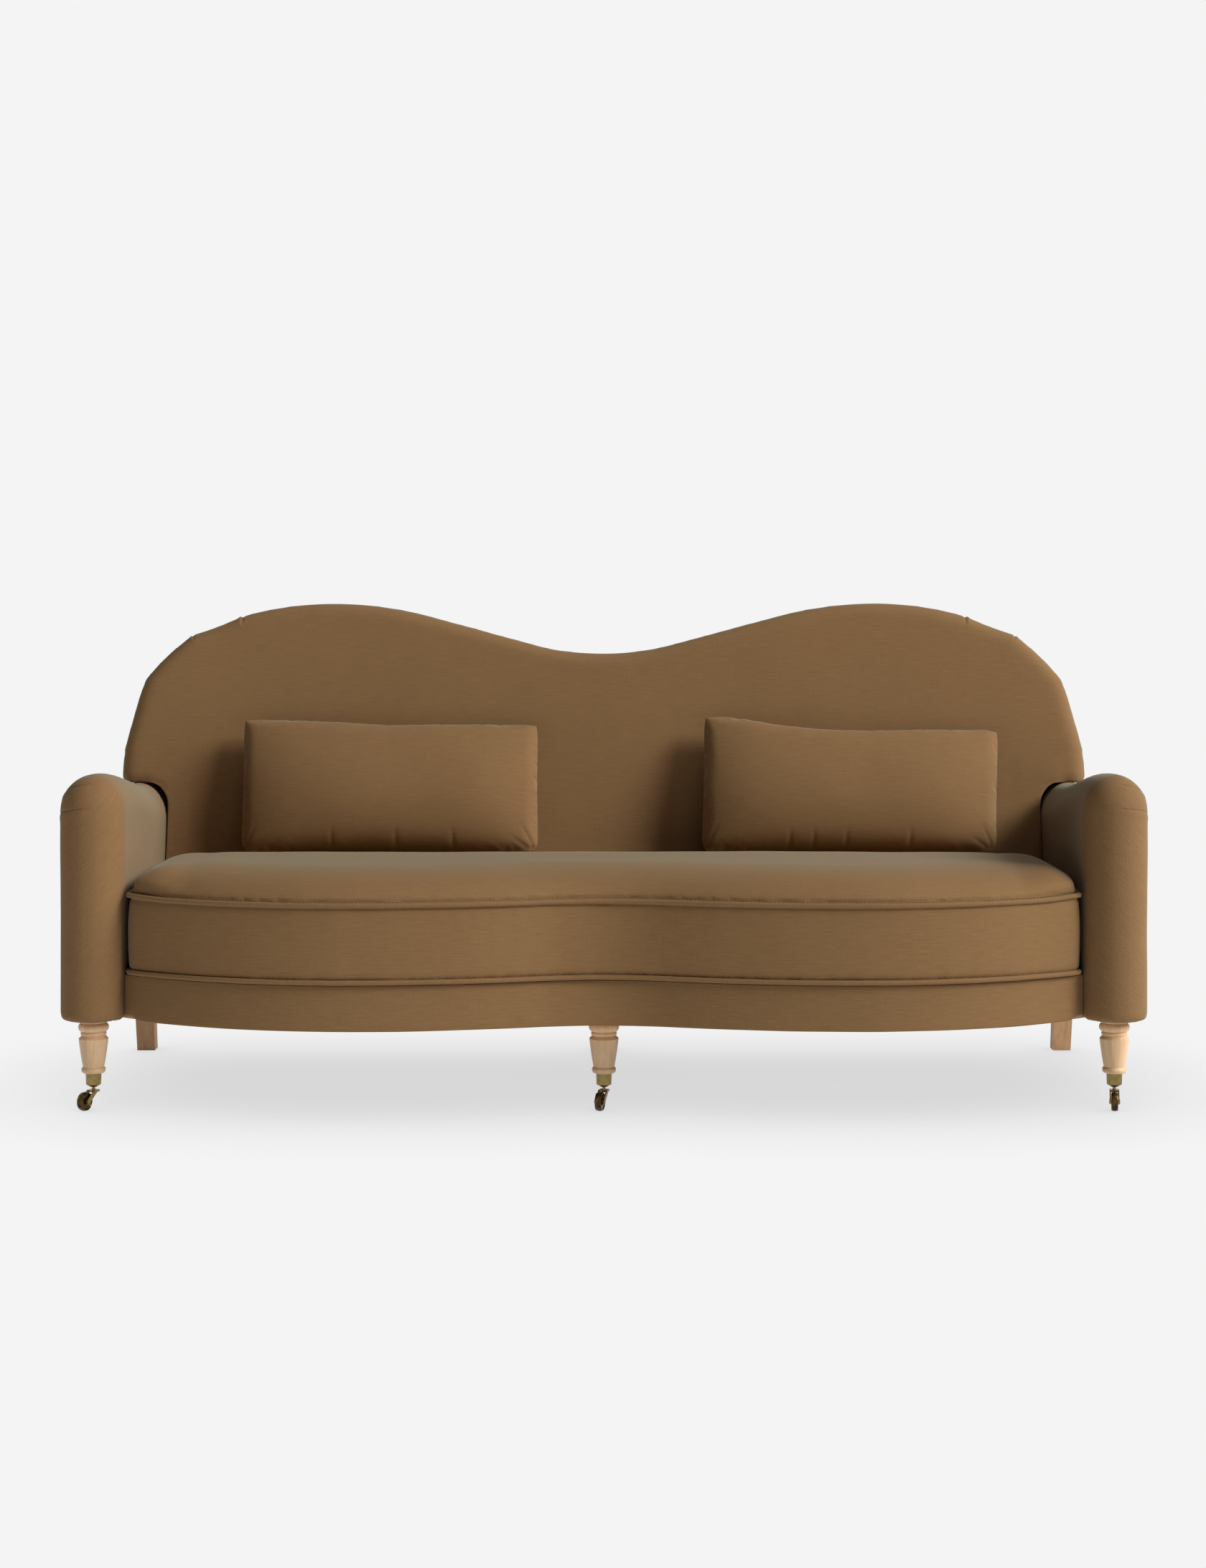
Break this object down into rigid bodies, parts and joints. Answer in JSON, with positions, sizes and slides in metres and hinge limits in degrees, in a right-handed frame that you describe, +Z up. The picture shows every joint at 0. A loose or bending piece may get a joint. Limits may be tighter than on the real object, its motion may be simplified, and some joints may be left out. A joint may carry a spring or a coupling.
{
  "type": "sofa",
  "caption": "Three-seat sofa with a double-humped back, serpentine seat front, loose seat cushion, two loose lumbar pillows, turned front legs on swivel casters and raked rear legs.",
  "frame": {"origin": "on the floor, under the middle of the whole sofa", "axes": "+X to the right of someone who faces the sofa, +Y to its back, +Z up"},
  "size_m": [2.2, 0.9477, 1.0211],
  "materials": {
    "frame_wood": "sawn hardwood, unfinished",
    "leg_wood": "light oak, satin clear finish",
    "padding": "felt and foam wrap",
    "seat_foam": "foam core with fibre wrap",
    "pillow_filling": "feather and fibre filling",
    "back_fabric": "brown woven upholstery, fine horizontal rib",
    "arm_fabric": "brown woven upholstery, fine twill",
    "base_fabric": "brown woven upholstery",
    "seat_fabric": "brown woven upholstery, fine horizontal rib",
    "pillow_fabric": "brown woven upholstery",
    "welt_fabric": "brown woven upholstery, self piping",
    "webbing": "jute webbing",
    "dust_cloth": "black cambric",
    "spring_steel": "oiled spring wire",
    "fixing_steel": "zinc plated",
    "brass": "aged brass",
    "wheel_brass": "dark polished brass"
  },
  "bodies": {
    "root": {"front_rail": "frame_wood", "rear_rail": "frame_wood", "centre_rail": "frame_wood", "corner_blocks": "frame_wood", "arm_rear_posts": "frame_wood", "back_top_rail": "frame_wood", "back_uprights": "frame_wood", "back_lower_rail": "frame_wood", "left_side_rail": "frame_wood", "left_arm_post": "frame_wood", "left_arm_rail": "frame_wood", "left_arm_padding": "padding", "left_arm_cover": "arm_fabric", "right_side_rail": "frame_wood", "right_arm_post": "frame_wood", "right_arm_rail": "frame_wood", "right_arm_padding": "padding", "right_arm_cover": "arm_fabric", "back_padding": "padding", "base_front_padding": "padding", "deck_pad": "padding", "back_cover": "back_fabric", "outside_back_panel": "back_fabric", "base_front_cover": "base_fabric", "back_webbing": "webbing", "dust_cover": "dust_cloth", "seat_springs": "spring_steel", "spring_clips": "spring_steel", "leg_bolts": "fixing_steel", "leg_threaded_inserts": "fixing_steel", "left_front_leg": "leg_wood", "left_rear_leg": "leg_wood", "left_caster_cup": "brass", "centre_front_leg": "leg_wood", "centre_rear_leg": "leg_wood", "centre_caster_cup": "brass", "right_front_leg": "leg_wood", "right_rear_leg": "leg_wood", "right_caster_cup": "brass"},
    "seat_cushion": {"seat_cushion_core": "seat_foam", "seat_cushion_cover": "seat_fabric", "seat_cushion_top_welt": "welt_fabric", "seat_cushion_bottom_welt": "welt_fabric"},
    "left_pillow": {"left_pillow_cover": "pillow_fabric", "left_pillow_insert": "pillow_filling"},
    "right_pillow": {"right_pillow_cover": "pillow_fabric", "right_pillow_insert": "pillow_filling"},
    "left_caster": {"left_caster_yoke": "brass", "left_caster_axle": "brass", "left_caster_pivot_pin": "brass"},
    "left_wheel": {"left_caster_wheel": "wheel_brass"},
    "centre_caster": {"centre_caster_yoke": "brass", "centre_caster_axle": "brass", "centre_caster_pivot_pin": "brass"},
    "centre_wheel": {"centre_caster_wheel": "wheel_brass"},
    "right_caster": {"right_caster_yoke": "brass", "right_caster_axle": "brass", "right_caster_pivot_pin": "brass"},
    "right_wheel": {"right_caster_wheel": "wheel_brass"}
  },
  "joints": [
    {"name": "seat_cushion_lift", "type": "slide", "parent": "root", "child": "seat_cushion", "axis": [0, 0, 1], "range_m": [0, 0.3]},
    {"name": "left_pillow_lift", "type": "slide", "parent": "seat_cushion", "child": "left_pillow", "axis": [0, 0, 1], "range_m": [0, 0.3]},
    {"name": "right_pillow_lift", "type": "slide", "parent": "seat_cushion", "child": "right_pillow", "axis": [0, 0, 1], "range_m": [0, 0.3]},
    {"name": "left_caster_swivel", "type": "hinge", "parent": "root", "child": "left_caster", "pos_m": [-1.034, -0.289, 0.041], "axis": [0, 0, 1], "continuous": true},
    {"name": "left_wheel_spin", "type": "hinge", "parent": "left_caster", "child": "left_wheel", "pos_m": [-1.04668, -0.31619, 0.019], "axis": [0.9063, -0.4226, 0], "continuous": true},
    {"name": "centre_caster_swivel", "type": "hinge", "parent": "root", "child": "centre_caster", "pos_m": [0, -0.289, 0.041], "axis": [0, 0, 1], "continuous": true},
    {"name": "centre_wheel_spin", "type": "hinge", "parent": "centre_caster", "child": "centre_wheel", "pos_m": [-0.00802, -0.31791, 0.019], "axis": [0.9636, -0.2672, 0], "continuous": true},
    {"name": "right_caster_swivel", "type": "hinge", "parent": "root", "child": "right_caster", "pos_m": [1.034, -0.289, 0.041], "axis": [0, 0, 1], "continuous": true},
    {"name": "right_wheel_spin", "type": "hinge", "parent": "right_caster", "child": "right_wheel", "pos_m": [1.02905, -0.31859, 0.019], "axis": [0.9863, -0.165, 0], "continuous": true}
  ]
}
